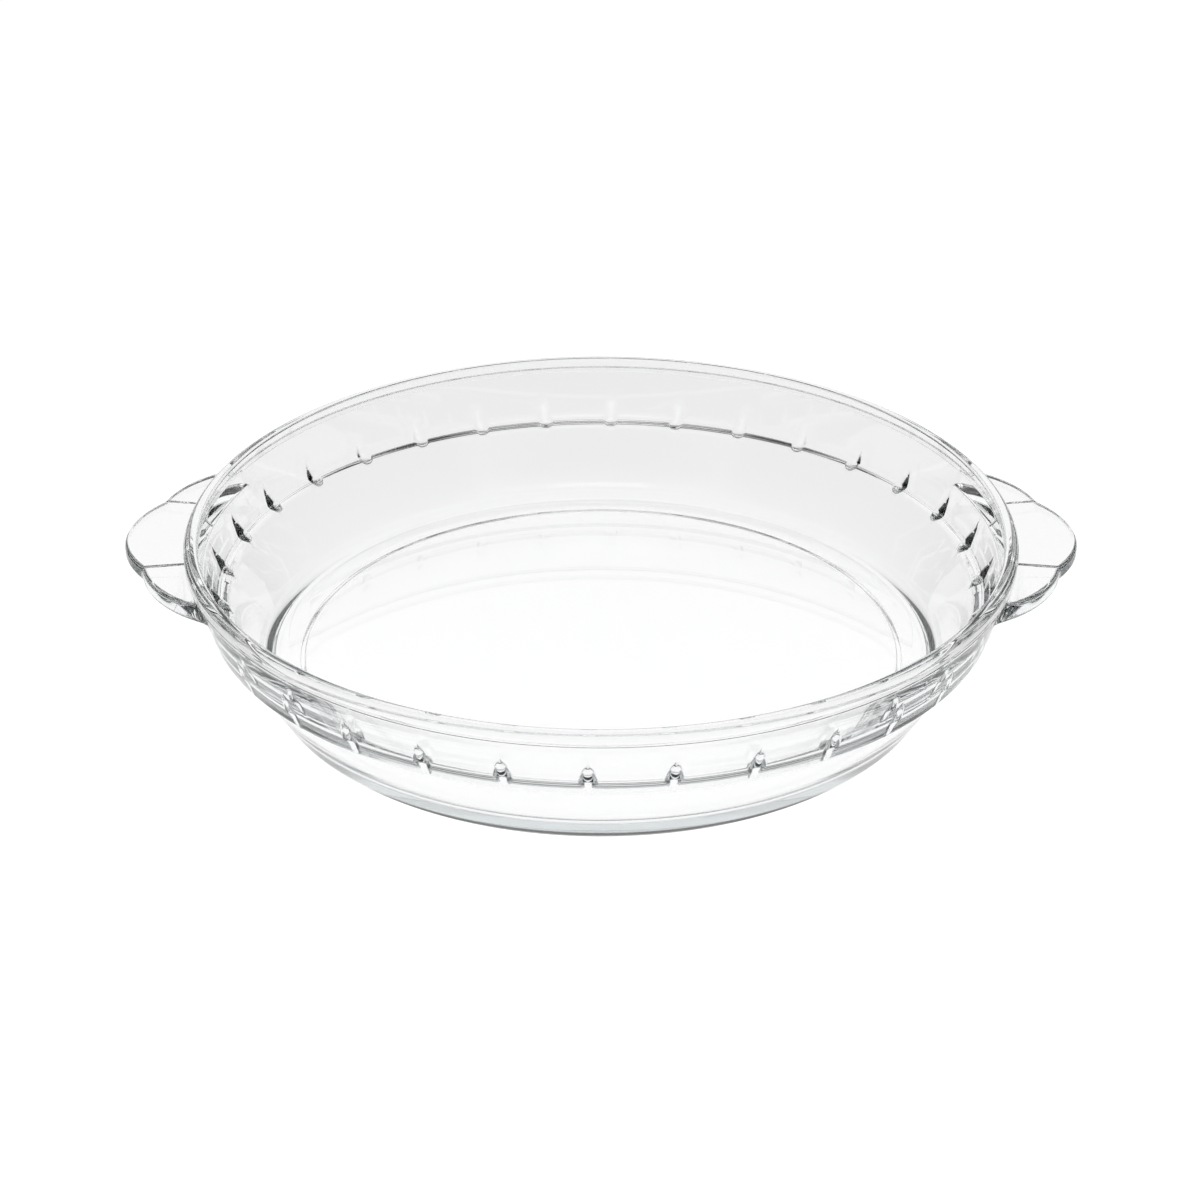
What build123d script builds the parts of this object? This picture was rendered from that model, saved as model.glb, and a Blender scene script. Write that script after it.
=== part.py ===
"""A deep round pie dish of pressed clear glass, with two scalloped tab handles.

The dish is one piece of glass. Its wall has a shallow lower part and a steeper upper part that
meet at a ledge, a ring of small nubs stands on the ledge inside, the lip is a rounded bead, and
the foot is a flat ring round a shallow recess. Lengths are in millimetres and angles in degrees.
+Z is up, +X runs through the handles, and the origin is the centre of the footprint.
"""

import os
from math import atan2, degrees, hypot, sqrt

from build123d import *

# Overall sizes
dish_height = 45.6
rim_radius = 120.7

# Lip: a bead that stands a little proud of the wall on both sides
lip_width = 4.05
lip_outer_depth = 3.7
lip_inner_depth = 4.2
lip_outer_round = 2.6
lip_inner_round = 1.1
lip_outer_step = 0.7
lip_outer_step_drop = 0.35
lip_inner_step = 0.4
lip_inner_step_drop = 0.5
lip_step_round = 0.3

# Upper wall and ledge, outside
ledge_height = 23.65
upper_wall_flare = 6.0
ledge_overhang = 2.6
ledge_drop = 0.1
ledge_round = 1.7

# Lower wall
lower_wall_flare = 13.95
lower_wall_thickness_below = 3.4
lower_wall_thickness_above = 4.0
lower_wall_round = 1.5

# Ledge, inside
inner_ledge_rise = 3.55
inner_ledge_width = 2.55
inner_ledge_drop = 1.1
inner_ledge_round = 2.9
inner_ledge_foot_round = 4.0

# Floor and foot
floor_thickness = 4.55
recess_depth = 1.35
recess_round = 1.15
foot_width = 8.8
foot_slope_width = 1.5
foot_round = 0.7
heel_round = 2.0
floor_round = 7.2

# Nubs on the ledge
nub_count = 32
nub_angle_offset = 1.7
nub_half_width = 2.4
nub_height = 8.1
nub_top_half_width = 0.6
nub_inset = 2.0
nub_embed = 2.2

# Handles
handle_reach = 18.0
handle_drop = 4.8
handle_half_width = 45.7
handle_tip_thickness = 4.2
handle_root_thickness = 6.6
middle_lobe_half_width = 21.2
middle_lobe_bulge = 7.9
side_lobe_bulge = 4.5
handle_edge_round = 1.6
cusp_round = 0.8
handle_embed = 3.5

# Grooves between the lobes of a handle
groove_width = 1.6
groove_depth = 0.6

# How far a cutting or joining solid runs past the face that it meets
overrun = 2.0

# Radii and heights of the outer wall, from the lip down to the foot
lip_outer_low = dish_height - lip_outer_depth
ledge_radius = rim_radius - upper_wall_flare
lower_wall_radius = ledge_radius - ledge_overhang
lower_wall_height = ledge_height - ledge_drop
heel_radius = lower_wall_radius - lower_wall_flare
recess_radius = heel_radius - foot_width - foot_slope_width

# Radii and heights of the inner wall; the lower wall thickens a little towards the ledge
lower_wall_slope = lower_wall_flare / lower_wall_height
floor_offset = lower_wall_thickness_below * hypot(1, lower_wall_slope)
ledge_offset = lower_wall_thickness_above * hypot(1, lower_wall_slope)
floor_height = recess_depth + floor_thickness
inner_ledge_height = ledge_height + inner_ledge_rise
inner_ledge_foot_height = inner_ledge_height - inner_ledge_drop
inner_ledge_foot_radius = heel_radius + lower_wall_slope * inner_ledge_foot_height - ledge_offset
inner_ledge_radius = inner_ledge_foot_radius + inner_ledge_width
floor_corner_radius = heel_radius + lower_wall_slope * floor_height - floor_offset
lip_inner_radius = rim_radius - lip_width
lip_inner_low = dish_height - lip_inner_depth
wall_inner_top_radius = lip_inner_radius + lip_inner_step
wall_inner_top_height = lip_inner_low - lip_inner_step_drop

# The nubs lean with the upper wall, so that their tips run out into it
upper_wall_run = wall_inner_top_radius - inner_ledge_radius
upper_wall_slope = upper_wall_run / (wall_inner_top_height - inner_ledge_height)
nub_radius = inner_ledge_foot_radius + nub_inset
nub_tip_rise = inner_ledge_foot_height + nub_height - inner_ledge_height
nub_tip_radius = inner_ledge_radius + upper_wall_slope * nub_tip_rise
nub_lean = degrees(atan2(nub_tip_radius - nub_radius, nub_height))

# Handle places
handle_tip_x = rim_radius + handle_reach
cusp_x = handle_tip_x - middle_lobe_bulge
handle_top_height = dish_height - handle_drop
handle_inner_radius = rim_radius - handle_embed
handle_root_x = sqrt(handle_inner_radius**2 - handle_half_width**2)
cusp_radius = hypot(cusp_x, middle_lobe_half_width)
cusp_angle = degrees(atan2(middle_lobe_half_width, cusp_x))
groove_cut_radius = ((groove_width / 2) ** 2 + groove_depth**2) / (2 * groove_depth)


# One handle, on the +X side
with BuildPart() as handle:
    with BuildSketch(Plane.XY.offset(handle_top_height)):
        with BuildLine():
            middle = ThreePointArc(
                (cusp_x, -middle_lobe_half_width),
                (handle_tip_x, 0),
                (cusp_x, middle_lobe_half_width),
            )
            far_lobe = SagittaArc(middle @ 1, (handle_root_x, handle_half_width), -side_lobe_bulge)
            near_lobe = SagittaArc((handle_root_x, -handle_half_width), middle @ 0, -side_lobe_bulge)
            Line(far_lobe @ 1, near_lobe @ 0)
        make_face()
        Circle(handle_inner_radius, mode=Mode.SUBTRACT)
    extrude(amount=-handle_root_thickness)

    # The underside rises from the root to the tip
    with BuildSketch(Plane.XZ):
        with BuildLine():
            Polyline(
                (handle_root_x, handle_top_height - handle_root_thickness),
                (handle_tip_x, handle_top_height - handle_tip_thickness),
                (handle_tip_x, handle_top_height - handle_root_thickness - overrun),
                (handle_root_x, handle_top_height - handle_root_thickness - overrun),
                close=True,
            )
        make_face()
    extrude(amount=handle_half_width, both=True, mode=Mode.SUBTRACT)

    # Round the cusps between the lobes, then the outline above and below
    cusps = handle.edges().filter_by(Axis.Z).filter_by(lambda e: e.center().X > handle_root_x + overrun)
    fillet(cusps, cusp_round)
    flat_faces = handle.faces().filter_by(lambda f: abs(f.normal_at().Z) > abs(f.normal_at().X))
    outline = flat_faces.edges().filter_by(lambda e: hypot(e.center().X, e.center().Y) > rim_radius)
    fillet(outline, handle_edge_round)

    # One groove runs from each cusp to the lip
    with PolarLocations(
        (cusp_radius + handle_inner_radius) / 2,
        2,
        start_angle=-cusp_angle,
        angular_range=2 * cusp_angle,
        endpoint=True,
    ):
        with Locations((0, 0, handle_top_height + groove_cut_radius - groove_depth)):
            Cylinder(
                groove_cut_radius,
                cusp_radius - handle_inner_radius,
                rotation=(0, 90, 0),
                mode=Mode.SUBTRACT,
            )

with BuildPart() as glass_dish:
    # The wall, the floor and the foot are one turned shape
    with BuildSketch(Plane.XZ):
        with BuildLine():
            FilletPolyline(
                (0, recess_depth),
                (recess_radius, recess_depth),
                (recess_radius + foot_slope_width, 0),
                (heel_radius, 0),
                (lower_wall_radius, lower_wall_height),
                (ledge_radius, ledge_height),
                (rim_radius - lip_outer_step, lip_outer_low - lip_outer_step_drop),
                (rim_radius, lip_outer_low),
                (rim_radius, dish_height),
                (lip_inner_radius, dish_height),
                (lip_inner_radius, lip_inner_low),
                (wall_inner_top_radius, wall_inner_top_height),
                (inner_ledge_radius, inner_ledge_height),
                (inner_ledge_foot_radius, inner_ledge_foot_height),
                (floor_corner_radius, floor_height),
                (0, floor_height),
                radius=[
                    0,
                    recess_round,
                    foot_round,
                    heel_round,
                    lower_wall_round,
                    ledge_round,
                    lip_step_round,
                    lip_step_round,
                    lip_outer_round,
                    lip_inner_round,
                    lip_step_round,
                    lip_step_round,
                    inner_ledge_round,
                    inner_ledge_foot_round,
                    floor_round,
                    0,
                ],
                close=True,
            )
        make_face()
    revolve(axis=Axis.Z)

    # The nubs are half-round posts that taper up the wall from just below the inner ledge
    with PolarLocations(nub_radius, nub_count, start_angle=90 - nub_angle_offset):
        with Locations(Location((0, 0, inner_ledge_foot_height), (0, nub_lean, 0))):
            Cone(
                nub_half_width,
                nub_top_half_width,
                nub_height,
                align=(Align.CENTER, Align.CENTER, Align.MIN),
            )
            Cylinder(
                nub_half_width,
                nub_embed,
                align=(Align.CENTER, Align.CENTER, Align.MAX),
            )

    with PolarLocations(0, 2):
        add(handle.part)

glass_dish.part.label = "glass_dish"

os.makedirs("parts", exist_ok=True)
export_step(glass_dish.part, "parts/glass_dish.step")
print(glass_dish.part.volume, glass_dish.part.bounding_box())
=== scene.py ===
import math

import bmesh
import bpy
import numpy as np
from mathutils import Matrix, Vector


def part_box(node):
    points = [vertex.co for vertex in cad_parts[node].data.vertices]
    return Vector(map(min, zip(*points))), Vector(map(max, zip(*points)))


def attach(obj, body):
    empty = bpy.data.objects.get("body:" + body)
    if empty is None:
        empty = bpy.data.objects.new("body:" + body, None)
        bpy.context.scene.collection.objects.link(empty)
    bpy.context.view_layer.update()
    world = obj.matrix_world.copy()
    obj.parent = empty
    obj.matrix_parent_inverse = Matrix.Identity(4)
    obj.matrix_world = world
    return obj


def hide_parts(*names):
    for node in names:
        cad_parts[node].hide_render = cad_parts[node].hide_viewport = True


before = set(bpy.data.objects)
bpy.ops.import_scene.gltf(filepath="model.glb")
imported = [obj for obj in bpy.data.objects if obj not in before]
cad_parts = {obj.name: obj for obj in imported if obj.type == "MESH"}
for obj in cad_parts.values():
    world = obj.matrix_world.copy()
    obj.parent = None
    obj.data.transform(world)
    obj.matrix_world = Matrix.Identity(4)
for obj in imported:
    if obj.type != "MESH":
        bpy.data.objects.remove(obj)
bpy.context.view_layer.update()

# A round pie dish of pressed clear glass, on a white table. The dish is one piece, drawn as a grid
# of rows along its section and columns round its axis. The dish's sizes are in millimetres.
MM = 0.001
box_low, box_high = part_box("glass_dish")
RIM_RADIUS = box_high[1] / MM
HANDLE_TIP_X = box_high[0] / MM
DISH_HEIGHT = box_high[2] / MM

# Lip: a bead that stands a little proud of the wall on both sides
LIP_WIDTH = 4.05
LIP_OUTER_DEPTH = 3.7
LIP_INNER_DEPTH = 4.2
LIP_OUTER_ROUND = 2.6
LIP_INNER_ROUND = 1.1
LIP_OUTER_STEP = 0.7
LIP_OUTER_STEP_DROP = 0.35
LIP_INNER_STEP = 0.4
LIP_INNER_STEP_DROP = 0.5
LIP_STEP_ROUND = 0.3
LIP_INNER_RADIUS = RIM_RADIUS - LIP_WIDTH
LIP_OUTER_LOW = DISH_HEIGHT - LIP_OUTER_DEPTH
LIP_INNER_LOW = DISH_HEIGHT - LIP_INNER_DEPTH
WALL_OUTER_TOP = (RIM_RADIUS - LIP_OUTER_STEP, LIP_OUTER_LOW - LIP_OUTER_STEP_DROP)
WALL_INNER_TOP = (LIP_INNER_RADIUS + LIP_INNER_STEP, LIP_INNER_LOW - LIP_INNER_STEP_DROP)

# Outer wall, ledge and foot
UPPER_WALL_FLARE = 6.0
LEDGE_HEIGHT = 23.65
LEDGE_RADIUS = RIM_RADIUS - UPPER_WALL_FLARE
LEDGE_OVERHANG = 2.6
LEDGE_ROUND = 1.7
LOWER_WALL_HEIGHT = 23.55
LOWER_WALL_RADIUS = LEDGE_RADIUS - LEDGE_OVERHANG
LOWER_WALL_FLARE = 13.95
LOWER_WALL_ROUND = 1.5
HEEL_RADIUS = LOWER_WALL_RADIUS - LOWER_WALL_FLARE
HEEL_ROUND = 2.0
FOOT_WIDTH = 8.8
FOOT_RADIUS = HEEL_RADIUS - FOOT_WIDTH
FOOT_ROUND = 0.7
FOOT_SLOPE_WIDTH = 1.5
RECESS_RADIUS = FOOT_RADIUS - FOOT_SLOPE_WIDTH
RECESS_ROUND = 1.15
RECESS_DEPTH = 1.35

# Inner wall, ledge and floor. The lower wall thickens a little from the floor to the ledge.
LOWER_WALL_THICKNESS_ABOVE = 4.0
LOWER_WALL_THICKNESS_BELOW = 3.4
WALL_SLOPE = (LOWER_WALL_RADIUS - HEEL_RADIUS) / LOWER_WALL_HEIGHT
LEDGE_OFFSET = LOWER_WALL_THICKNESS_ABOVE * math.hypot(1, WALL_SLOPE)
FLOOR_OFFSET = LOWER_WALL_THICKNESS_BELOW * math.hypot(1, WALL_SLOPE)
FLOOR_HEIGHT = 5.9
FLOOR_ROUND = 7.2
FLOOR_CORNER_RADIUS = HEEL_RADIUS + WALL_SLOPE * FLOOR_HEIGHT - FLOOR_OFFSET
INNER_LEDGE_HEIGHT = 27.2
INNER_LEDGE_WIDTH = 2.55
INNER_LEDGE_ROUND = 2.9
INNER_LEDGE_FOOT_HEIGHT = 26.1
INNER_LEDGE_FOOT_ROUND = 4.0
INNER_LEDGE_FOOT_RADIUS = HEEL_RADIUS + WALL_SLOPE * INNER_LEDGE_FOOT_HEIGHT - LEDGE_OFFSET
INNER_LEDGE_RADIUS = INNER_LEDGE_FOOT_RADIUS + INNER_LEDGE_WIDTH

# Nubs on the inner ledge: half-round bumps that run out up the wall to a point. NUB_TURN turns
# the ring, and from NUB_BASE to NUB_TOP the bumps lose depth and width by the powers NUB_FADE
# and NUB_TAPER of what is left of the rise.
NUB_COUNT = 32
NUB_TURN = math.radians(1.7)
NUB_BASE = 27.2
NUB_TOP = 33.8
NUB_DEPTH = 2.5
NUB_FADE = 1.5
NUB_HALF_WIDTH = 2.4
NUB_TAPER = 0.5
NUB_FILLET = 0.4
NUB_LEAST_RISE = 0.001

# Handles. Past LOBE_END from its axis a handle's outline is inside the wall.
HANDLE_DROP = 4.8
HANDLE_TOP_HEIGHT = DISH_HEIGHT - HANDLE_DROP
HANDLE_TIP_THICKNESS = 4.2
HANDLE_ROOT_THICKNESS = 6.6
HANDLE_HALF_WIDTH = 45.7
HANDLE_EMBED = 3.5
HANDLE_ROOT_X = math.sqrt((RIM_RADIUS - HANDLE_EMBED) ** 2 - HANDLE_HALF_WIDTH**2)
HANDLE_EDGE_ROUND = 1.6
HANDLE_FILLET = 1.5
MIDDLE_LOBE_HALF_WIDTH = 21.2
MIDDLE_LOBE_BULGE = 7.9
SIDE_LOBE_BULGE = 4.5
LOBE_END = math.radians(27)
CUSP_ROUND = 0.8

# Grooves between a handle's lobes: the radii where they start and end, how wide their ends are
# against their middle, and how far below the handle's top their cut fades in. Rows more than
# TOP_SLACK above that top are on the wall.
GROOVE_WIDTH = 1.6
GROOVE_DEPTH = 0.6
GROOVE_SPAN = (119.0, 133.5)
GROOVE_END_SHARE = 0.3
GROOVE_FADE = (0.8, 0.1)
TOP_SLACK = 0.02

# Rows of the grid in each stretch of the section, from the bottom's centre to the floor's centre.
# HANDLE_ZONE has the heights where the outer wall can run out into a handle, and NUB_ZONE those
# where the inner wall has the nubs. A full turn of the section would take TURN_SHARE of the rows.
HANDLE_ZONE = (31.0, DISH_HEIGHT - 4.4)
NUB_ZONE = (23.0, 35.0)
ROWS_OUTSIDE = 38
ROWS_HANDLE = 28
ROWS_LIP = 36
ROWS_NUBS = 24
ROWS_INSIDE = 16
TURN_SHARE = 0.8

# The handle's stretch is drawn by rays from a point this far inside the rim and below the
# handle's top. It blends back into the plain wall over the angles in RAY_ENDS.
RAY_CENTER_INSET = 4.2
RAY_CENTER_DROP = 3.1
RAY_ENDS = (0.15, 0.1)
WALL_SAMPLES = 400
RAY_SAMPLES = 1500

# Widths of the grid's columns: away from the handles, across a handle and at a groove, with the
# angles over which one gives way to the next. The rows with the nubs are split more finely on
# each nub.
COLUMN_WIDE = math.radians(0.9)
COLUMN_HANDLE = math.radians(1.2)
COLUMN_GROOVE = math.radians(0.16)
COLUMN_NUB = math.radians(0.12)
HANDLE_REACH = (math.radians(24), math.radians(28))
GROOVE_REACH = (math.radians(0.6), math.radians(1.1))
NUB_REACH = math.radians(1.6)
ANGLE_SAMPLES = 40001

# Lengths that are as good as nothing, and one that is past everything
TINY = 1e-6
FAR = 1e3


def smooth_min(a, b, k):
    """The smaller of a and b, with the corner where they meet rounded over a width of k."""
    h = np.clip(0.5 + 0.5 * (b - a) / k, 0, 1)
    return b * (1 - h) + a * h - k * h * (1 - h)


def smooth_max(a, b, k):
    return -smooth_min(-a, -b, k)


def smooth_step(x, start, end):
    t = np.clip((x - start) / (end - start), 0, 1)
    return t * t * (3 - 2 * t)


def rounded_path(corners, steps=16):
    """Points along straight lines through (radius, height, round) corners, with an arc at each."""
    points = []
    places = [np.array(corner[:2]) for corner in corners]
    for i, place in enumerate(places):
        fillet = corners[i][2]
        if fillet == 0:
            points.append(place)
            continue
        back = places[i - 1] - place
        ahead = places[i + 1] - place
        back /= np.linalg.norm(back)
        ahead /= np.linalg.norm(ahead)
        half_angle = math.acos(np.clip(back @ ahead, -1, 1)) / 2
        middle = (back + ahead) / np.linalg.norm(back + ahead)
        center = place + middle * fillet / math.sin(half_angle)
        start = place + back * fillet / math.tan(half_angle) - center
        end = place + ahead * fillet / math.tan(half_angle) - center
        turn = math.atan2(start[0] * end[1] - start[1] * end[0], start @ end)
        for angle in np.linspace(0, turn, steps + 1):
            c, s = math.cos(angle), math.sin(angle)
            arm = np.array([c * start[0] - s * start[1], s * start[0] + c * start[1]])
            points.append(center + arm)
    return np.array(points)


def split_at_height(path, height):
    """The path up to the first place at a height, and the path from there on."""
    side = np.sign(path[:, 1] - height)
    i = np.nonzero(side[1:] * side[0] < 0)[0][0]
    t = (height - path[i, 1]) / (path[i + 1, 1] - path[i, 1])
    cut = path[i] + t * (path[i + 1] - path[i])
    return np.vstack([path[: i + 1], cut]), np.vstack([cut, path[i + 1 :]])


def rows_along(path, count):
    """count + 1 points along a path, closer together where it turns."""
    steps = np.diff(path, axis=0)
    lengths = np.hypot(steps[:, 0], steps[:, 1])
    keep = lengths > TINY
    path = np.vstack([path[:1], path[1:][keep]])
    steps, lengths = steps[keep], lengths[keep]
    heading = np.unwrap(np.arctan2(steps[:, 1], steps[:, 0]))
    turns = np.abs(np.diff(heading))
    turn_weight = np.zeros(len(lengths))
    turn_weight[1:] += turns / 2
    turn_weight[:-1] += turns / 2
    turn_weight *= TURN_SHARE / (2 * math.pi)
    length_weight = lengths / lengths.sum() * (1 - turn_weight.sum())
    along = np.concatenate([[0], np.cumsum(turn_weight + length_weight)])
    wanted = np.linspace(0, along[-1], count + 1)
    return np.stack([np.interp(wanted, along, path[:, axis]) for axis in (0, 1)], 1)


def column_angles():
    """Angles round the axis, from +Y towards +X, closer together at handles and grooves."""
    fine = np.linspace(0, 2 * math.pi, ANGLE_SAMPLES)
    from_axis = np.abs((fine + math.pi / 2) % math.pi - math.pi / 2)
    from_handle = math.pi / 2 - from_axis
    on_handle = 1 - smooth_step(from_handle, *HANDLE_REACH)
    on_groove = 1 - smooth_step(np.abs(from_handle - cusp_angle), *GROOVE_REACH)
    per_angle = 1 / COLUMN_WIDE + on_handle / COLUMN_HANDLE + on_groove / COLUMN_GROOVE
    per_step = (per_angle[1:] + per_angle[:-1]) / 2 * np.diff(fine)
    along = np.concatenate([[0], np.cumsum(per_step)])
    count = int(round(along[-1]))
    return np.interp(np.arange(count) * along[-1] / count, along, fine)


def angle_from_nub(angle):
    pitch = 2 * math.pi / NUB_COUNT
    return (angle - NUB_TURN + pitch / 2) % pitch - pitch / 2


def split_columns(angles):
    """The same angles with more between them on the nubs, and where each of the first ones is."""
    split, kept = [], []
    for start, end in zip(angles, np.append(angles[1:], angles[0] + 2 * math.pi)):
        kept.append(len(split))
        near = abs(angle_from_nub((start + end) / 2)) < NUB_REACH + (end - start) / 2
        parts = math.ceil((end - start) / COLUMN_NUB) if near else 1
        split += list(np.linspace(start, end, parts, endpoint=False))
    return np.array(split), kept


def lobe_circles():
    """The cusp between two lobes, and the circles of the middle lobe and of a side lobe."""
    cusp = np.array([HANDLE_TIP_X - MIDDLE_LOBE_BULGE, MIDDLE_LOBE_HALF_WIDTH])
    middle_radius = (MIDDLE_LOBE_HALF_WIDTH**2 + MIDDLE_LOBE_BULGE**2) / (2 * MIDDLE_LOBE_BULGE)
    middle = (HANDLE_TIP_X - middle_radius, 0.0, middle_radius)
    root = np.array([HANDLE_ROOT_X, HANDLE_HALF_WIDTH])
    chord = root - cusp
    length = np.linalg.norm(chord)
    side_radius = length**2 / (8 * SIDE_LOBE_BULGE) + SIDE_LOBE_BULGE / 2
    outward = np.array([chord[1], -chord[0]]) / length
    center = (cusp + root) / 2 - outward * (side_radius - SIDE_LOBE_BULGE)
    return cusp, middle, (center[0], center[1], side_radius)


def circle_reach(circle, angle):
    """How far a circle reaches from the dish's axis at an angle from a handle's own axis."""
    x, y, radius = circle
    along = x * np.cos(angle) + y * np.sin(angle)
    root = radius**2 - (x**2 + y**2 - along**2)
    return np.where(root > 0, along + np.sqrt(np.maximum(root, 0)), 0.0)


cusp, middle_circle, side_circle = lobe_circles()
cusp_angle = math.atan2(cusp[1], cusp[0])


def handle_reach(angle):
    """Radius of the handles' outline at an angle from their axis, or less than the wall's."""
    angle = np.minimum(np.abs(angle), LOBE_END)
    middle = circle_reach(middle_circle, angle)
    side = circle_reach(side_circle, angle)
    return smooth_max(middle, side, CUSP_ROUND)


def outer_wall_radius(height):
    """Radius of the upper wall's outer face."""
    share = (height - LEDGE_HEIGHT) / (WALL_OUTER_TOP[1] - LEDGE_HEIGHT)
    return LEDGE_RADIUS + (WALL_OUTER_TOP[0] - LEDGE_RADIUS) * share


def handle_stretch(reach):
    """The wall's section across the handles' heights, run out over a handle that reaches so far.

    The section is drawn by rays from a point inside the wall, so that wall and handle join
    in one line whether the handle sticks out or not.
    """
    center_r = RIM_RADIUS - RAY_CENTER_INSET
    center_z = HANDLE_TOP_HEIGHT - RAY_CENTER_DROP
    height = np.linspace(HANDLE_ZONE[0], HANDLE_ZONE[1], WALL_SAMPLES)
    out, up = outer_wall_radius(height) - center_r, height - center_z
    wall_angle = np.arctan2(up, out)
    first, last = wall_angle[0], wall_angle[-1]
    angle = np.linspace(first, last, RAY_SAMPLES)
    dr, dz = np.cos(angle), np.sin(angle)
    wall = np.interp(angle, wall_angle, np.hypot(out, up))

    # The handle is a slab with a level top, a rising underside and an upright end
    rise = (HANDLE_ROOT_THICKNESS - HANDLE_TIP_THICKNESS) / (HANDLE_TIP_X - HANDLE_ROOT_X)
    under_at_root = HANDLE_TOP_HEIGHT - HANDLE_ROOT_THICKNESS
    under_here = under_at_root + rise * (center_r - HANDLE_ROOT_X)
    to_top = np.where(dz > TINY, (HANDLE_TOP_HEIGHT - center_z) / np.maximum(dz, TINY), FAR)
    falling = rise * dr - dz
    to_under = np.where(falling > TINY, (center_z - under_here) / np.maximum(falling, TINY), FAR)
    to_end = (reach - center_r) / np.maximum(dr, TINY)
    slab = np.minimum(np.minimum(to_top, to_under), to_end)

    # Its end is rounded above and below
    corner_r = reach - HANDLE_EDGE_ROUND
    under_corner = under_at_root + rise * (corner_r - HANDLE_ROOT_X)
    under_round = HANDLE_EDGE_ROUND * math.hypot(1, rise)
    upper = (corner_r - center_r, HANDLE_TOP_HEIGHT - HANDLE_EDGE_ROUND - center_z)
    lower = (corner_r - center_r, under_corner + under_round - center_z)
    for (kr, kz), low, high in (
        (upper, 0.0, math.pi / 2),
        (lower, -math.pi / 2 + math.atan(rise), 0.0),
    ):
        along = kr * dr + kz * dz
        root = HANDLE_EDGE_ROUND**2 - (kr**2 + kz**2 - along**2)
        to_round = along + np.sqrt(np.maximum(root, 0))
        facing = np.arctan2(to_round * dz - kz, to_round * dr - kr)
        slab = np.where((root > 0) & (facing >= low) & (facing <= high), to_round, slab)
    slab = np.maximum(slab, 0) if reach > center_r else np.zeros_like(angle)

    far = smooth_max(wall, slab, HANDLE_FILLET)
    started = smooth_step(angle, first, first + RAY_ENDS[0])
    ending = smooth_step(angle, last - RAY_ENDS[1], last)
    far = wall + (far - wall) * started * (1 - ending)
    return np.stack([center_r + far * dr, center_z + far * dz], 1)


def section_rows():
    """The section away from the handles, as a path for each stretch but the handle's."""
    outer = rounded_path(
        [
            (0, RECESS_DEPTH, 0),
            (RECESS_RADIUS, RECESS_DEPTH, RECESS_ROUND),
            (FOOT_RADIUS, 0, FOOT_ROUND),
            (HEEL_RADIUS, 0, HEEL_ROUND),
            (LOWER_WALL_RADIUS, LOWER_WALL_HEIGHT, LOWER_WALL_ROUND),
            (LEDGE_RADIUS, LEDGE_HEIGHT, LEDGE_ROUND),
            (*WALL_OUTER_TOP, 0),
        ]
    )
    inner = rounded_path(
        [
            (outer_wall_radius(HANDLE_ZONE[1]), HANDLE_ZONE[1], 0),
            (*WALL_OUTER_TOP, LIP_STEP_ROUND),
            (RIM_RADIUS, LIP_OUTER_LOW, LIP_STEP_ROUND),
            (RIM_RADIUS, DISH_HEIGHT, LIP_OUTER_ROUND),
            (LIP_INNER_RADIUS, DISH_HEIGHT, LIP_INNER_ROUND),
            (LIP_INNER_RADIUS, LIP_INNER_LOW, LIP_STEP_ROUND),
            (*WALL_INNER_TOP, LIP_STEP_ROUND),
            (INNER_LEDGE_RADIUS, INNER_LEDGE_HEIGHT, INNER_LEDGE_ROUND),
            (INNER_LEDGE_FOOT_RADIUS, INNER_LEDGE_FOOT_HEIGHT, INNER_LEDGE_FOOT_ROUND),
            (FLOOR_CORNER_RADIUS, FLOOR_HEIGHT, FLOOR_ROUND),
            (0, FLOOR_HEIGHT, 0),
        ]
    )
    outside = split_at_height(outer, HANDLE_ZONE[0])[0]
    lip, inside = split_at_height(inner, NUB_ZONE[1])
    nubs, inside = split_at_height(inside, NUB_ZONE[0])
    return outside, lip, nubs, inside


def nub_face(radius, height, across):
    """Inner radius where the nubs stand proud of the ledge and the wall above it."""
    wall_run = WALL_INNER_TOP[0] - INNER_LEDGE_RADIUS
    slope = wall_run / (WALL_INNER_TOP[1] - INNER_LEDGE_HEIGHT)
    wall = INNER_LEDGE_RADIUS + slope * (height - INNER_LEDGE_HEIGHT)
    rise = np.clip((NUB_TOP - height) / (NUB_TOP - NUB_BASE), NUB_LEAST_RISE, 1)
    share = 1 - (across / (NUB_HALF_WIDTH * rise**NUB_TAPER)) ** 2
    face = wall - NUB_DEPTH * rise**NUB_FADE * np.sqrt(np.maximum(share, 0))
    return np.where(share > 0, smooth_min(radius, face, NUB_FILLET), radius)


def groove_depth(radius, from_handle):
    """How deep the two grooves of a handle are cut at a place on its top."""
    middle = sum(GROOVE_SPAN) / 2
    reach = (GROOVE_SPAN[1] - GROOVE_SPAN[0]) / 2
    lens = np.maximum(1 - ((radius - middle) / reach) ** 2, 0)
    width = GROOVE_WIDTH * (GROOVE_END_SHARE + (1 - GROOVE_END_SHARE) * lens)
    across = radius * (np.abs(from_handle) - cusp_angle) / (width / 2)
    return GROOVE_DEPTH * np.sqrt(lens) * np.maximum(1 - across**2, 0)


def all_round(rows, angles):
    """The same rows at every angle."""
    return np.repeat(rows[:, None, :], len(angles), 1)


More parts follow.
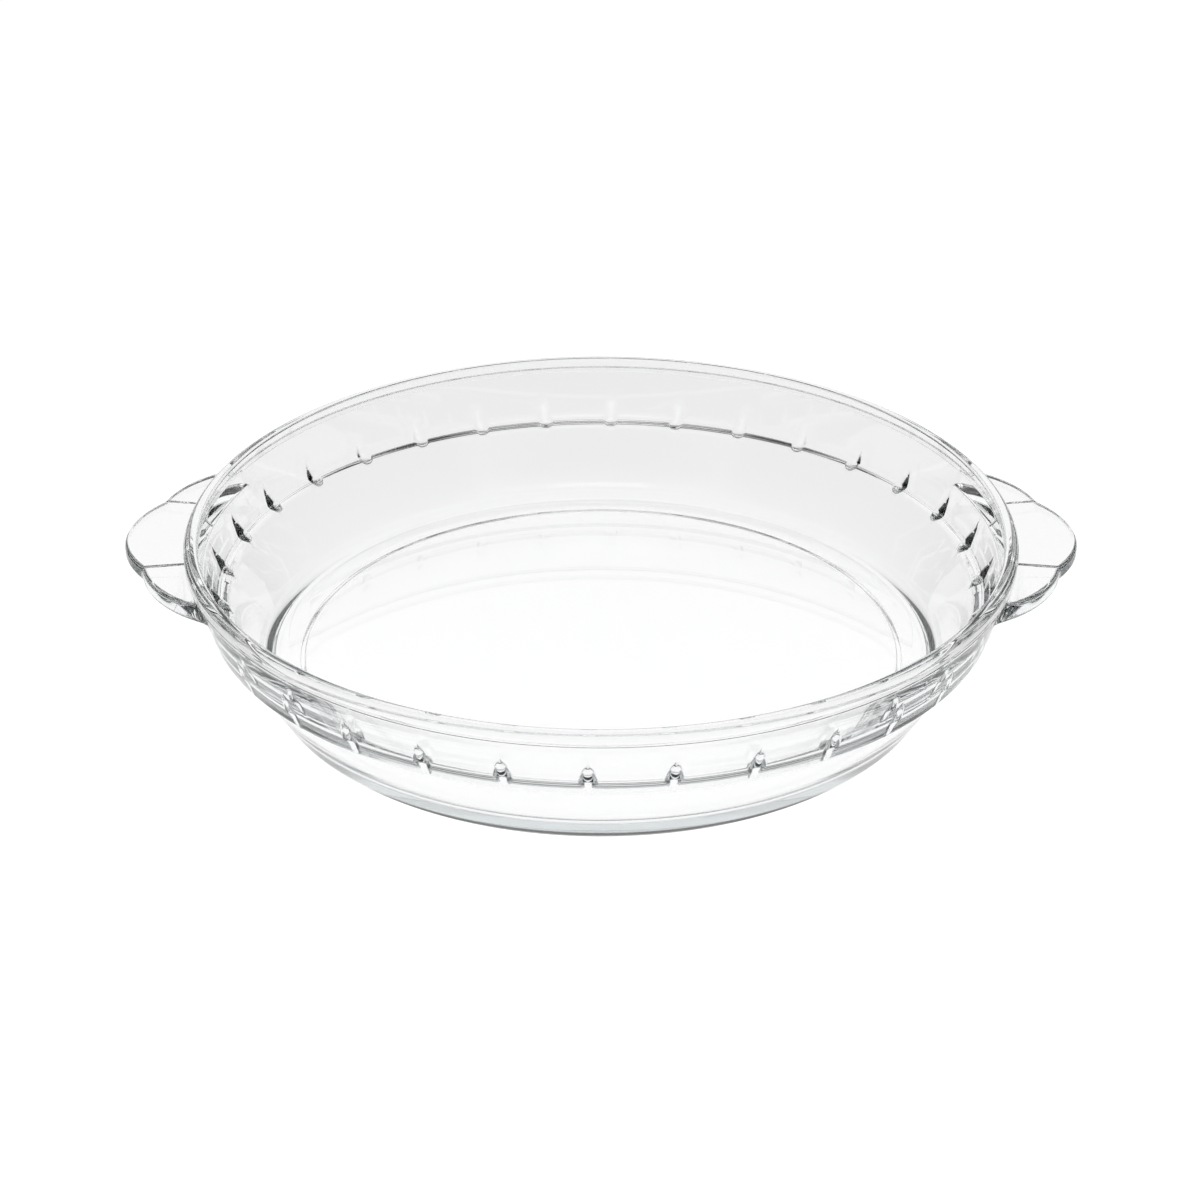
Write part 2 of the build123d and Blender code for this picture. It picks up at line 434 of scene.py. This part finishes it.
def dish_grids():
    """The grid of (radius, height) below and over the nubs, and the finer one with the nubs."""
    angles = column_angles()
    fine_angles, kept = split_columns(angles)
    outside, lip, nubs, inside = section_rows()
    outside = all_round(rows_along(outside, ROWS_OUTSIDE)[1:], angles)
    lip = all_round(rows_along(lip, ROWS_LIP)[1:-1], angles)
    nubs = all_round(rows_along(nubs, ROWS_NUBS), fine_angles)
    inside = all_round(rows_along(inside, ROWS_INSIDE)[1:-1], angles)

    from_handle = (angles % math.pi) - math.pi / 2
    reach = handle_reach(from_handle)
    handle = np.stack([rows_along(handle_stretch(r), ROWS_HANDLE)[1:] for r in reach], 1)
    height = handle[:, :, 1]
    fade_from, fade_to = (HANDLE_TOP_HEIGHT - depth for depth in GROOVE_FADE)
    on_top = smooth_step(height, fade_from, fade_to) * (height < HANDLE_TOP_HEIGHT + TOP_SLACK)
    handle[:, :, 1] -= on_top * groove_depth(handle[:, :, 0], from_handle[None, :])

    across = nubs[:, :, 0] * angle_from_nub(fine_angles)[None, :]
    nubs[:, :, 0] = nub_face(nubs[:, :, 0], nubs[:, :, 1], across)
    return angles, fine_angles, kept, np.concatenate([outside, handle, lip]), nubs, inside


def mesh_object(name, vertices, faces):
    """A linked object with a mesh whose faces look outward."""
    mesh = bpy.data.meshes.new(name)
    mesh.from_pydata(vertices, [], faces)
    mesh.validate()
    shape = bmesh.new()
    shape.from_mesh(mesh)
    bmesh.ops.recalc_face_normals(shape, faces=shape.faces)
    shape.to_mesh(mesh)
    shape.free()
    piece = bpy.data.objects.new(name, mesh)
    bpy.context.collection.objects.link(piece)
    return piece


def even_normals(mesh):
    """Vertex normals by face size, so that a flat face stays flat up to the round beside it."""
    count = len(mesh.polygons)
    facing, size, corners = np.empty(count * 3), np.empty(count), np.empty(count, int)
    mesh.polygons.foreach_get("normal", facing)
    mesh.polygons.foreach_get("area", size)
    mesh.polygons.foreach_get("loop_total", corners)
    vertex = np.empty(len(mesh.loops), int)
    mesh.loops.foreach_get("vertex_index", vertex)
    pull = facing.reshape(-1, 3) * (size / corners)[:, None]
    normals = np.zeros((len(mesh.vertices), 3))
    np.add.at(normals, vertex, np.repeat(pull, corners, 0))
    normals /= np.linalg.norm(normals, axis=1)[:, None]
    mesh.normals_split_custom_set_from_vertices(normals.tolist())


def make_dish():
    """The dish as one closed mesh: the outside and the lip, the nubs' rows, then the inside."""
    angles, fine_angles, kept, outer, nubs, inner = dish_grids()
    points, faces = [], []

    def add_grid(grid, columns):
        """Add a grid's points and faces, and return the numbers of its points."""
        start = sum(len(block) for block in points)
        radius, height = grid[:, :, 0], grid[:, :, 1]
        block = np.stack([radius * np.sin(columns), radius * np.cos(columns), height], -1)
        points.append(block.reshape(-1, 3))
        index = start + np.arange(radius.size).reshape(radius.shape)
        beside = np.roll(index, -1, 1)
        quads = np.stack([index[:-1], index[1:], beside[1:], beside[:-1]], -1)
        faces.extend(quads.reshape(-1, 4).tolist())
        return index

    def join(row, fine_row):
        """Faces between a row of the wide grid and a row of the finer one."""
        ends = kept[1:] + [len(fine_row)]
        for j, (start, end) in enumerate(zip(kept, ends)):
            run = [int(fine_row[k % len(fine_row)]) for k in range(end, start - 1, -1)]
            faces.append((int(row[j]), int(row[(j + 1) % len(row)]), *run))

    outer_index = add_grid(outer, angles)
    nub_index = add_grid(nubs, fine_angles)
    inner_index = add_grid(inner, angles)
    join(outer_index[-1], nub_index[0])
    join(inner_index[0], nub_index[-1])
    bottom = sum(len(block) for block in points)
    points.append(np.array([[0, 0, RECESS_DEPTH], [0, 0, FLOOR_HEIGHT]]))
    for j in range(len(angles)):
        after = (j + 1) % len(angles)
        faces.append((bottom, int(outer_index[0, j]), int(outer_index[0, after])))
        faces.append((bottom + 1, int(inner_index[-1, after]), int(inner_index[-1, j])))
    dish = mesh_object("pressed_glass_dish", (np.vstack(points) * MM).tolist(), faces)
    dish.data.polygons.foreach_set("use_smooth", [True] * len(dish.data.polygons))
    even_normals(dish.data)
    return dish


def node(tree, kind, **values):
    """A new shader node, with the given inputs set."""
    made = tree.nodes.new(kind)
    for name, value in values.items():
        made.inputs[name.replace("_", " ")].default_value = value
    return made


def new_material(name):
    """A material with an output node only, with its tree and that node."""
    material = bpy.data.materials.new(name)
    material.use_nodes = True
    tree = material.node_tree
    tree.nodes.clear()
    return material, tree, tree.nodes.new("ShaderNodeOutputMaterial")


# Glass. Its shadow is tinted as seen face on and as seen edge on. The body absorbs a little of
# the light, by the metre. The skin has long waves and a fine ripple, with heights in metres.
GLASS_TINT = (0.997, 0.998, 0.998, 1)
GLASS_IOR = 1.5
SHADOW_TINT = (0.96, 0.97, 0.97, 1)
EDGE_SHADOW_TINT = (0.3, 0.32, 0.32, 1)
SHADOW_BLEND = 0.4
ABSORPTION_COLOR = (0.46, 0.53, 0.55, 1)
ABSORPTION_DENSITY = 4.0
WAVE_SCALE = 38.0
WAVE_HEIGHT = 0.000005
RIPPLE_SCALE = 420.0
RIPPLE_HEIGHT = 0.0000005
MOST_ROUGHNESS = 0.03


def glass_material():
    """Clear pressed glass: a fire-polished skin with faint long waves and a fine ripple."""
    material, tree, output = new_material("clear_pressed_glass")
    link = tree.links.new
    glass = node(
        tree,
        "ShaderNodeBsdfPrincipled",
        Base_Color=GLASS_TINT,
        IOR=GLASS_IOR,
        Transmission_Weight=1.0,
    )
    place = node(tree, "ShaderNodeTexCoord")

    waves = node(tree, "ShaderNodeTexNoise", Scale=WAVE_SCALE, Detail=1.5, Roughness=0.4)
    ripple = node(tree, "ShaderNodeTexNoise", Scale=RIPPLE_SCALE, Detail=2.0, Roughness=0.5)
    long_bump = node(tree, "ShaderNodeBump", Strength=1.0, Distance=WAVE_HEIGHT)
    fine_bump = node(tree, "ShaderNodeBump", Strength=1.0, Distance=RIPPLE_HEIGHT)
    link(place.outputs["Object"], waves.inputs["Vector"])
    link(place.outputs["Object"], ripple.inputs["Vector"])
    link(waves.outputs["Fac"], long_bump.inputs["Height"])
    link(ripple.outputs["Fac"], fine_bump.inputs["Height"])
    link(long_bump.outputs["Normal"], fine_bump.inputs["Normal"])
    link(fine_bump.outputs["Normal"], glass.inputs["Normal"])

    # The skin is a trace rougher on the crests of the long waves
    haze = node(tree, "ShaderNodeMapRange", From_Min=0.45, From_Max=0.8, To_Max=MOST_ROUGHNESS)
    link(waves.outputs["Fac"], haze.inputs["Value"])
    link(haze.outputs["Result"], glass.inputs["Roughness"])

    path = node(tree, "ShaderNodeLightPath")
    edge_on = node(tree, "ShaderNodeLayerWeight", Blend=SHADOW_BLEND)
    face_tint = node(tree, "ShaderNodeBsdfTransparent", Color=SHADOW_TINT)
    edge_tint = node(tree, "ShaderNodeBsdfTransparent", Color=EDGE_SHADOW_TINT)
    shadow = node(tree, "ShaderNodeMixShader")
    link(edge_on.outputs["Facing"], shadow.inputs[0])
    link(face_tint.outputs["BSDF"], shadow.inputs[1])
    link(edge_tint.outputs["BSDF"], shadow.inputs[2])
    mix = node(tree, "ShaderNodeMixShader")
    link(path.outputs["Is Shadow Ray"], mix.inputs[0])
    link(glass.outputs["BSDF"], mix.inputs[1])
    link(shadow.outputs["Shader"], mix.inputs[2])
    link(mix.outputs["Shader"], output.inputs["Surface"])
    body = node(tree, "ShaderNodeVolumeAbsorption", Color=ABSORPTION_COLOR)
    body.inputs["Density"].default_value = ABSORPTION_DENSITY
    link(body.outputs["Volume"], output.inputs["Volume"])
    return material


# White table, part lit and part glowing, in metres. From TABLE_FADE_START to TABLE_FADE_END, both
# measured back from the dish's middle, the glow falls to TABLE_FADE_SHARE of TABLE_GLOW: a painted
# shade, darker behind the dish. The camera sees the table lifted towards plain white, with a share
# of its shadows.
TABLE_HALF_WIDTH = 0.34
TABLE_FRONT = -0.30
TABLE_BACK = 0.80
TABLE_DROP = 0.0002
TABLE_COLOR = (0.3, 0.3, 0.3, 1)
TABLE_GLOW = 0.87
TABLE_FADE_START = -0.02
TABLE_FADE_END = 0.45
TABLE_FADE_SHARE = 0.83
TABLE_SEEN_GLOW = 1.15
TABLE_SHADOW_SHARE = 0.3
WHITE = (1, 1, 1, 1)


def make_table():
    half = TABLE_HALF_WIDTH
    ends = [(-half, TABLE_FRONT), (half, TABLE_FRONT), (half, TABLE_BACK), (-half, TABLE_BACK)]
    table = mesh_object("table", [(x, y, -TABLE_DROP) for x, y in ends], [(0, 1, 2, 3)])
    material, tree, output = new_material("white_table")
    link = tree.links.new
    paint = node(tree, "ShaderNodeBsdfDiffuse", Color=TABLE_COLOR)
    place = node(tree, "ShaderNodeTexCoord")
    split = node(tree, "ShaderNodeSeparateXYZ")
    # Painted shade: the table's glow dims towards the back, behind the dish
    painted_shade = node(tree, "ShaderNodeMapRange", From_Min=TABLE_FADE_START, From_Max=TABLE_FADE_END)
    painted_shade.inputs["To Min"].default_value = TABLE_GLOW
    painted_shade.inputs["To Max"].default_value = TABLE_GLOW * TABLE_FADE_SHARE
    glow = node(tree, "ShaderNodeEmission", Color=WHITE)
    link(place.outputs["Object"], split.inputs["Vector"])
    link(split.outputs["Y"], painted_shade.inputs["Value"])
    link(painted_shade.outputs["Result"], glow.inputs["Strength"])
    lit = node(tree, "ShaderNodeAddShader")
    link(paint.outputs["BSDF"], lit.inputs[0])
    link(glow.outputs["Emission"], lit.inputs[1])
    white = node(tree, "ShaderNodeEmission", Color=WHITE, Strength=TABLE_SEEN_GLOW)
    seen = node(tree, "ShaderNodeMixShader", Fac=TABLE_SHADOW_SHARE)
    link(white.outputs["Emission"], seen.inputs[1])
    link(lit.outputs["Shader"], seen.inputs[2])
    path = node(tree, "ShaderNodeLightPath")
    either = node(tree, "ShaderNodeMixShader")
    link(path.outputs["Is Camera Ray"], either.inputs[0])
    link(lit.outputs["Shader"], either.inputs[1])
    link(seen.outputs["Shader"], either.inputs[2])
    link(either.outputs["Shader"], output.inputs["Surface"])
    table.data.materials.append(material)


# Softbox over the dish, a little to the camera's side, in metres and watts
SOFTBOX_SIZE = 0.4
SOFTBOX_HEIGHT = 0.9
SOFTBOX_FORWARD = 0.47
SOFTBOX_POWER = 0.5


def make_softbox():
    lamp = bpy.data.lights.new("softbox", "AREA")
    lamp.shape = "SQUARE"
    lamp.size = SOFTBOX_SIZE
    lamp.energy = SOFTBOX_POWER
    holder = bpy.data.objects.new("softbox", lamp)
    bpy.context.collection.objects.link(holder)
    holder.location = (0, -SOFTBOX_FORWARD, SOFTBOX_HEIGHT)
    holder.rotation_euler = (math.atan2(SOFTBOX_FORWARD, SOFTBOX_HEIGHT), 0, 0)


# Studio: bands of directions, in degrees from the horizon behind the dish up and over to the
# front, with a strength each: a white sweep behind, a dim ceiling and a screen over the camera.
# Their edges are soft, and they end SIDE_END degrees to the left and the right. The rest of the
# room is nearly dark, but the camera sees it white.
BANDS = ((3.0, 55.0, 1.05), (55.0, 108.0, 0.06), (108.0, 138.0, 0.8))
EDGE_SOFT = 6.0
SIDE_END = 36.0
SIDE_SOFT = 8.0
ROOM_STRENGTH = 0.02
DEGREES = 180 / math.pi
FULL_TURN = 360.0


def make_studio():
    world = bpy.data.worlds.new("studio")
    bpy.context.scene.world = world
    world.use_nodes = True
    tree = world.node_tree
    tree.nodes.clear()
    link = tree.links.new
    output = tree.nodes.new("ShaderNodeOutputWorld")
    place = node(tree, "ShaderNodeTexCoord")
    split = node(tree, "ShaderNodeSeparateXYZ")
    link(place.outputs["Generated"], split.inputs["Vector"])

    def math_node(operation, *inputs):
        """The result of a math node on sockets and numbers."""
        made = tree.nodes.new("ShaderNodeMath")
        made.operation = operation
        for socket, value in zip(made.inputs, inputs):
            if isinstance(value, (int, float)):
                socket.default_value = value
            else:
                link(value, socket)
        return made.outputs["Value"]

    def past(angle, edge, soft):
        """0 short of an edge and 1 past it, with a soft step between."""
        ramp = node(tree, "ShaderNodeMapRange", From_Min=edge - soft, From_Max=edge + soft)
        ramp.interpolation_type = "SMOOTHSTEP"
        link(angle, ramp.inputs["Value"])
        return ramp.outputs["Result"]

    over = math_node("ARCTAN2", split.outputs["Z"], split.outputs["Y"])
    over = math_node("MULTIPLY", over, DEGREES)
    below = math_node("LESS_THAN", split.outputs["Z"], 0.0)
    over = math_node("ADD", over, math_node("MULTIPLY", below, FULL_TURN))
    side = math_node("ABSOLUTE", math_node("ARCSINE", split.outputs["X"]))
    side = math_node("MULTIPLY", side, DEGREES)

    bands = 0.0
    for start, end, strength in BANDS:
        band = math_node("SUBTRACT", past(over, start, EDGE_SOFT), past(over, end, EDGE_SOFT))
        bands = math_node("ADD", bands, math_node("MULTIPLY", band, strength))
    middle = math_node("SUBTRACT", 1.0, past(side, SIDE_END, SIDE_SOFT))
    bands = math_node("MULTIPLY", bands, middle)
    room = math_node("MAXIMUM", bands, ROOM_STRENGTH)
    path = node(tree, "ShaderNodeLightPath")
    strength = math_node("MAXIMUM", room, path.outputs["Is Camera Ray"])
    light = node(tree, "ShaderNodeBackground", Color=WHITE)
    link(strength, light.inputs["Strength"])
    link(light.outputs["Background"], output.inputs["Surface"])


# Camera, fitted to the rim, the foot and the ring of nubs in the photograph. Its tilt is in
# radians, and its lengths are in millimetres. The distance is from a point over the dish's middle
# near the rim's height, and the camera then moves across its view, to the right and upwards.
CAMERA_TILT = 0.4995
CAMERA_DISTANCE = 765.63
CAMERA_LENS = 78.87
CAMERA_SENSOR = 36.0
CAMERA_SHIFT_RIGHT = -0.3
CAMERA_SHIFT_UP = -22.98
CAMERA_AIM_HEIGHT = 44.8


def make_camera():
    camera = bpy.data.cameras.new("camera")
    camera.lens = CAMERA_LENS
    camera.sensor_width = CAMERA_SENSOR
    holder = bpy.data.objects.new("camera", camera)
    bpy.context.collection.objects.link(holder)
    c, s = math.cos(CAMERA_TILT), math.sin(CAMERA_TILT)
    y = CAMERA_SHIFT_UP * s - CAMERA_DISTANCE * c
    z = CAMERA_SHIFT_UP * c + CAMERA_DISTANCE * s + CAMERA_AIM_HEIGHT
    holder.location = (CAMERA_SHIFT_RIGHT * MM, y * MM, z * MM)
    holder.rotation_euler = (math.pi / 2 - CAMERA_TILT, 0, 0)
    bpy.context.scene.camera = holder


# Light runs far inside the lip and the handles before it comes out
LIGHT_BOUNCES = 28

dish = make_dish()
dish.data.materials.append(glass_material())
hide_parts("glass_dish")
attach(dish, "root")
make_table()
make_softbox()
make_studio()
make_camera()
scene = bpy.context.scene
scene.view_settings.view_transform = "Standard"
scene.cycles.max_bounces = LIGHT_BOUNCES
scene.cycles.transmission_bounces = LIGHT_BOUNCES
scene.cycles.glossy_bounces = LIGHT_BOUNCES
